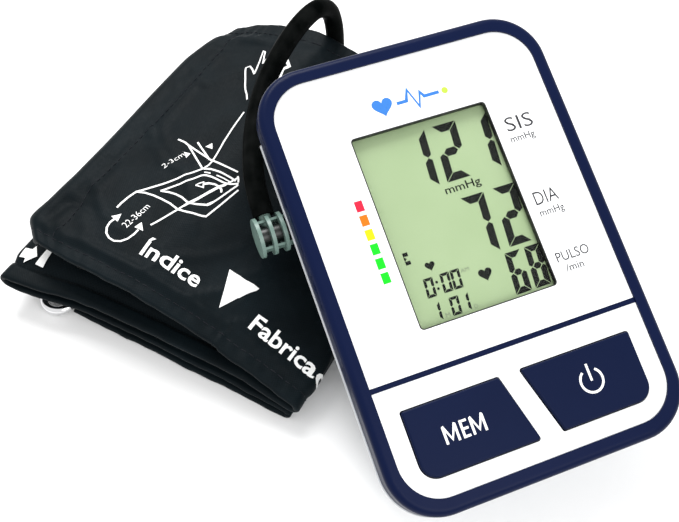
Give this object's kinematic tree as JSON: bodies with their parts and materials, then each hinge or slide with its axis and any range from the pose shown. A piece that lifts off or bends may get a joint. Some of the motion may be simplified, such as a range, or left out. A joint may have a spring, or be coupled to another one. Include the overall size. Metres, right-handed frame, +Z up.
{
  "type": "upper-arm blood pressure monitor with cuff",
  "caption": "Tabletop blood pressure monitor with display and two keys, leaning on its folded black arm cuff and joined to it by a ribbed air plug and a short hose.",
  "frame": {"origin": "middle of the underside of the box round the monitor and the cuff, on the surface they stand on", "axes": "+X along the folded cuff's front edge, from its loose fold towards the monitor; +Y across the cuff, from the front edge to the far edge; +Z up"},
  "size_m": [0.225, 0.1576, 0.0811],
  "materials": {
    "bezel_navy": "satin",
    "panel_white": "gloss",
    "key_navy": "satin",
    "housing_grey": "fine texture",
    "clear_window": "polished",
    "lcd_grey": "satin",
    "holder_white": "moulded",
    "zebra_rubber": "matte",
    "board_green": "solder mask",
    "screw_steel": "satin",
    "chip_black": "moulded",
    "pad_rubber": "matte",
    "cell_wrap": "printed film",
    "contact_steel": "bright",
    "motor_steel": "satin",
    "rotor_copper": "wound wire",
    "pump_white": "moulded",
    "valve_black": "moulded",
    "tube_silicone": "translucent",
    "plug_greygreen": "moulded",
    "foot_rubber": "matte",
    "cloth_black": "fine weave",
    "lining_black": "brushed",
    "bladder_rubber": "matte",
    "hook_black": "hook tape",
    "ring_chrome": "polished",
    "hose_rubber": "smooth matte"
  },
  "bodies": {
    "cuff": {"cuff_outer_cloth": "cloth_black", "cuff_lining": "lining_black", "air_bladder": "bladder_rubber", "hook_tape": "hook_black", "loop_tape": "hook_black", "ring_loop": "cloth_black", "bladder_port": "hose_rubber", "air_hose": "hose_rubber", "air_plug": "plug_greygreen"},
    "monitor": {"front_bezel": "bezel_navy", "display_panel": "panel_white", "key_panel": "panel_white", "rear_housing": "housing_grey", "lcd_window": "clear_window", "lcd_glass": "lcd_grey", "lcd_holder": "holder_white", "zebra_strips": "zebra_rubber", "main_board": "board_green", "housing_screws": "screw_steel", "board_screws": "screw_steel", "board_parts": "chip_black", "button_pad": "pad_rubber", "batteries": "cell_wrap", "battery_plates": "contact_steel", "contact_springs": "contact_steel", "pump_motor": "motor_steel", "pump_head": "pump_white", "pump_cap": "pump_white", "valve_body": "valve_black", "pressure_sensor": "chip_black", "air_tee": "pump_white", "inner_air_line": "tube_silicone", "air_socket": "pump_white", "rubber_feet": "foot_rubber"},
    "ring": {"d_ring": "ring_chrome"},
    "mem_key": {"mem_button": "key_navy"},
    "power_key": {"power_button": "key_navy"},
    "cover": {"battery_cover": "housing_grey"},
    "rotor": {"pump_rotor": "rotor_copper"},
    "plunger": {"valve_plunger": "screw_steel"}
  },
  "joints": [
    {"name": "monitor_unplug", "type": "slide", "parent": "cuff", "child": "monitor", "axis": [0.6494, 0.7604, 0], "range_m": [0, 0.06]},
    {"name": "mem_press", "type": "slide", "parent": "monitor", "child": "mem_key", "axis": [-0.2996, 0.2558, -0.9191], "range_m": [0, 0.001], "stiffness_N_per_m": 1200, "springref_m": -0.0006},
    {"name": "power_press", "type": "slide", "parent": "monitor", "child": "power_key", "axis": [-0.2996, 0.2558, -0.9191], "range_m": [0, 0.001], "stiffness_N_per_m": 1200, "springref_m": -0.0006},
    {"name": "battery_cover_slide", "type": "slide", "parent": "monitor", "child": "cover", "axis": [-0.6989, 0.5969, 0.3939], "range_m": [0, 0.012]},
    {"name": "pump_spin", "type": "hinge", "parent": "monitor", "child": "rotor", "pos_m": [0.03826, -0.02917, 0.02267], "axis": [0.6494, 0.7604, 0], "continuous": true},
    {"name": "release_valve", "type": "slide", "parent": "monitor", "child": "plunger", "axis": [-0.6989, 0.5969, 0.3939], "range_m": [0, 0.0012], "stiffness_N_per_m": 600, "springref_m": -0.0004},
    {"name": "ring_swing", "type": "hinge", "parent": "cuff", "child": "ring", "pos_m": [-0.09105, 0.00693, 0.0029], "axis": [0, 1, 0], "range_deg": [0, 15]}
  ]
}
